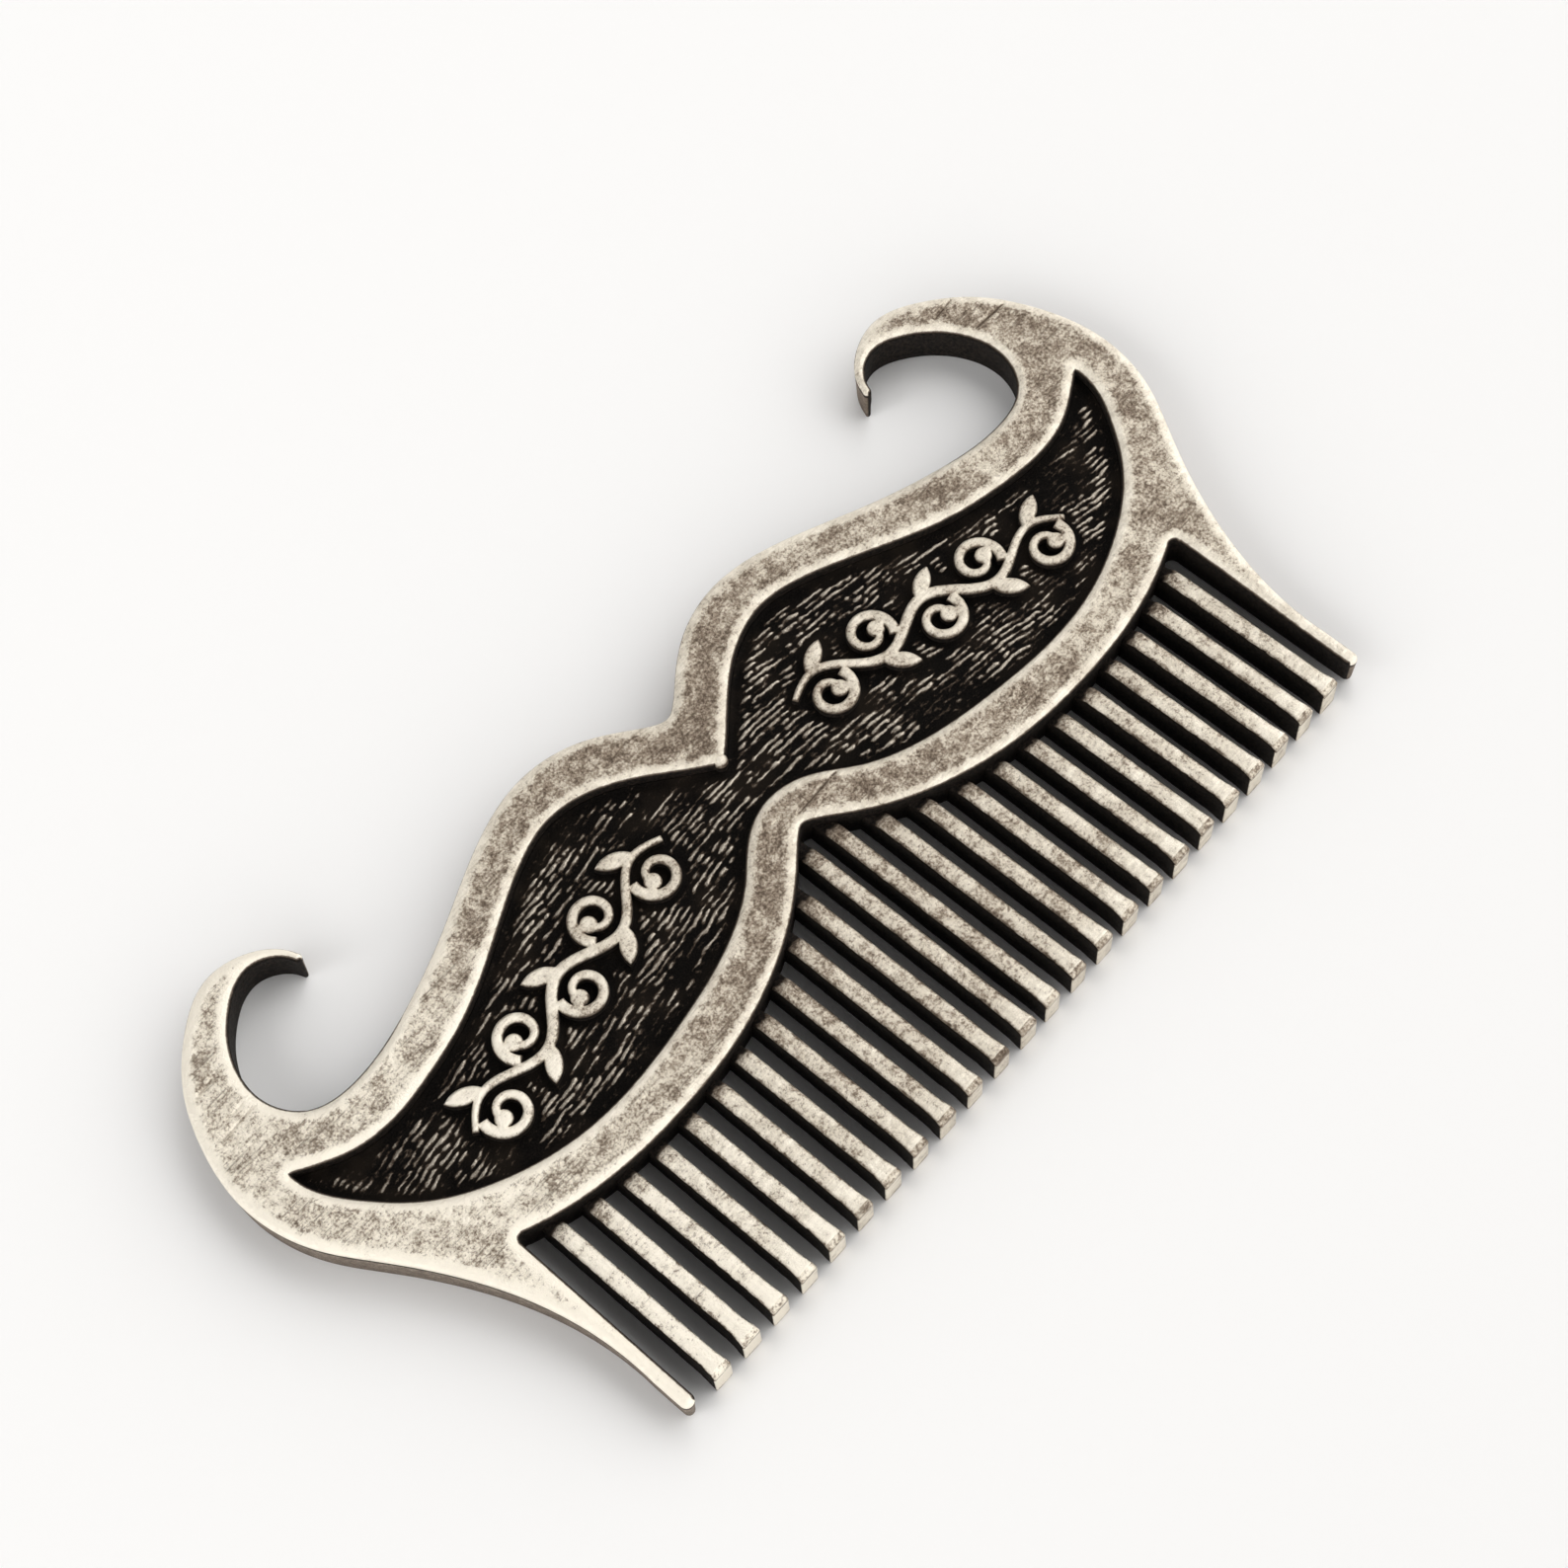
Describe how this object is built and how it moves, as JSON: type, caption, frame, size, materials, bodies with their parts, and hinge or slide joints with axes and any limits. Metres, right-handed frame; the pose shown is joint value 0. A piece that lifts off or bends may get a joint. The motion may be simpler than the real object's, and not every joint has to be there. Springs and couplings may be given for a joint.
{
  "type": "beard comb",
  "caption": "Pocket beard comb shaped like a handlebar moustache, cast flat in one metal, with a row of blunt straight tines along its lower edge.",
  "frame": {"origin": "middle of the comb's footprint, on its flat back", "axes": "+X along the row of tines, to the right when the decorated face is towards the viewer and the tines point down; +Y from the tine tips to the hooks; +Z out of the decorated face"},
  "size_m": [0.0878, 0.044, 0.0036],
  "materials": {
    "worn_silver": "antique silver, worn satin on the high faces and dark in the hollows",
    "dark_patina": "black-brown patina left in the recess, matt"
  },
  "bodies": {
    "root": {"moustache_rim": "worn_silver", "centre_bead": "worn_silver", "left_guard_tine": "worn_silver", "right_guard_tine": "worn_silver", "left_tine_01": "worn_silver", "left_tine_02": "worn_silver", "left_tine_03": "worn_silver", "left_tine_04": "worn_silver", "left_tine_05": "worn_silver", "left_tine_06": "worn_silver", "left_tine_07": "worn_silver", "left_tine_08": "worn_silver", "left_tine_09": "worn_silver", "left_tine_10": "worn_silver", "left_tine_11": "worn_silver", "left_tine_12": "worn_silver", "right_tine_01": "worn_silver", "right_tine_02": "worn_silver", "right_tine_03": "worn_silver", "right_tine_04": "worn_silver", "right_tine_05": "worn_silver", "right_tine_06": "worn_silver", "right_tine_07": "worn_silver", "right_tine_08": "worn_silver", "right_tine_09": "worn_silver", "right_tine_10": "worn_silver", "right_tine_11": "worn_silver", "right_tine_12": "worn_silver", "left_leaf_scroll": "worn_silver", "right_leaf_scroll": "worn_silver", "field_floor": "dark_patina"}
  },
  "joints": []
}
